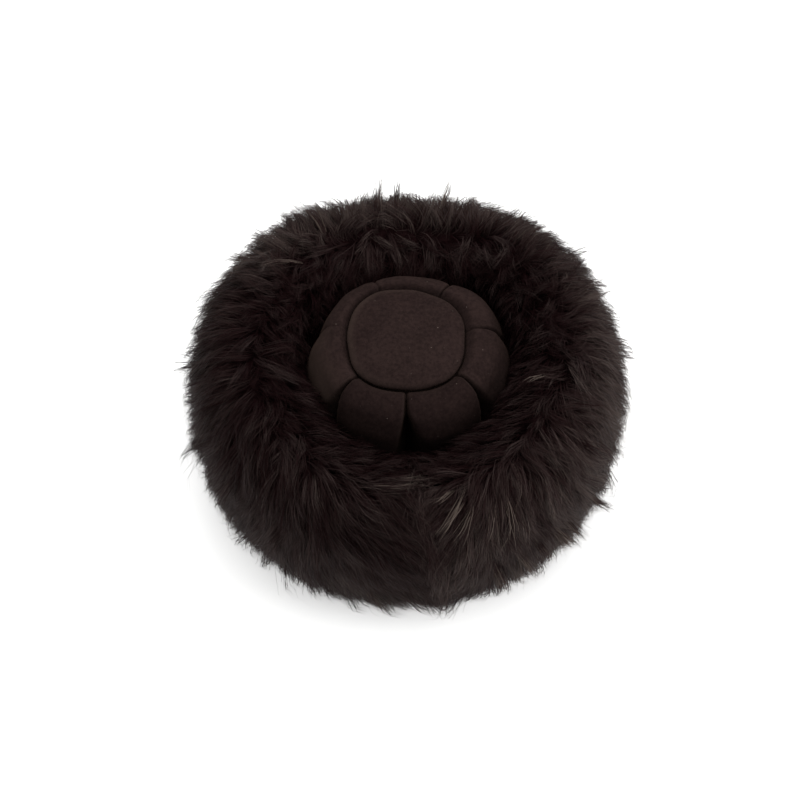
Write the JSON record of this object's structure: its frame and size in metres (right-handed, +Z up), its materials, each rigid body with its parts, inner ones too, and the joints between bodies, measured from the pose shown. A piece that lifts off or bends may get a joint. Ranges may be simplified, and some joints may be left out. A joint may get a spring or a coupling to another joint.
{
  "type": "cossack hat",
  "caption": "Round hat: a puffed suede crown of gores round a top disc, set into a deep band of long dark fur, open below for the head.",
  "frame": {"origin": "middle of the footprint, on the surface that the fur band rests on", "axes": "+Z up out of the crown, -Y towards the front seam of the crown, +X to the right as seen from the front"},
  "size_m": [0.2858, 0.2748, 0.1362],
  "materials": {
    "suede": "matt brushed suede, warm dark brown",
    "fur": "long silky fur, brown black with paler tips"
  },
  "bodies": {
    "root": {"crown_disc": "suede", "crown_gore_front_right": "suede", "crown_gore_right": "suede", "crown_gore_back_right": "suede", "crown_gore_back": "suede", "crown_gore_back_left": "suede", "crown_gore_left": "suede", "crown_gore_front_left": "suede", "fur_band": "fur"}
  },
  "joints": []
}
